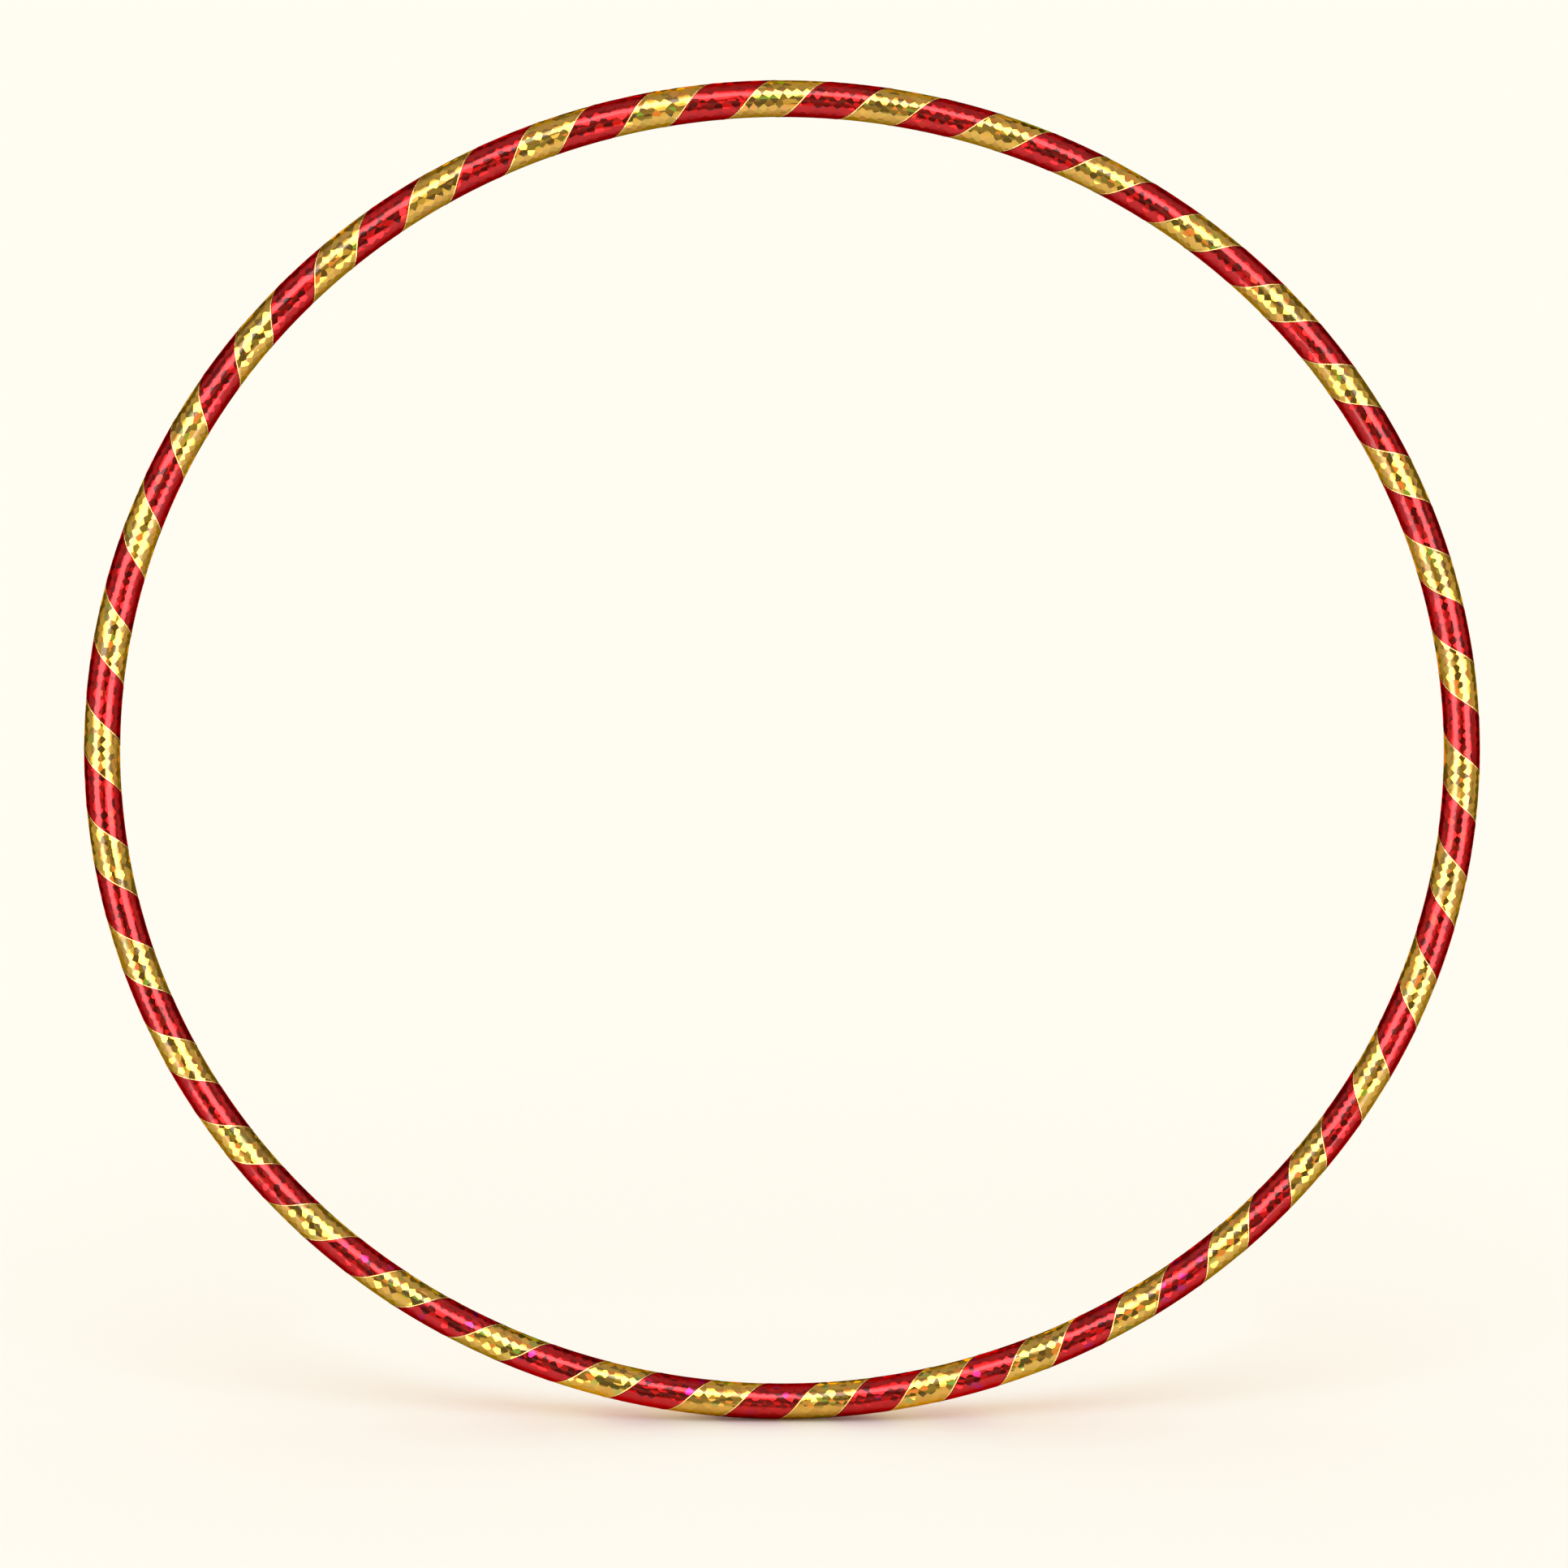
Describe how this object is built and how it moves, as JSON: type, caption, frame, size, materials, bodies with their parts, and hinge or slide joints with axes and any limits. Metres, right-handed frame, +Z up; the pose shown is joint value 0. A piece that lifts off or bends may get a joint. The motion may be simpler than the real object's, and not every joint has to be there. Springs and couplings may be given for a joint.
{
  "type": "hula hoop",
  "caption": "Round exercise hoop: a bent plastic tube closed by a riveted inner sleeve and wound side by side with red and gold holographic tape.",
  "frame": {"origin": "centre of the ring, at the middle of the tube's thickness", "axes": "+Z up through the top of the upright ring, +X to the right seen from the front, the ring's own axis along Y with the front facing -Y"},
  "size_m": [0.7616, 0.02, 0.7616],
  "materials": {
    "tube": "black extruded polyethylene, satin",
    "sleeve": "natural extruded polypropylene, satin",
    "rivet": "plain aluminium, as drawn",
    "mandrel": "plain steel wire",
    "red_foil": "metallised holographic film tape, red, cracked-ice facets under a glossy clear face",
    "gold_foil": "metallised holographic film tape, gold, cracked-ice facets under a glossy clear face"
  },
  "bodies": {
    "root": {"tube": "tube", "joint_sleeve": "sleeve", "rivet_body_1": "rivet", "rivet_body_2": "rivet", "rivet_mandrel_1": "mandrel", "rivet_mandrel_2": "mandrel", "red_tape": "red_foil", "gold_tape": "gold_foil"}
  },
  "joints": []
}
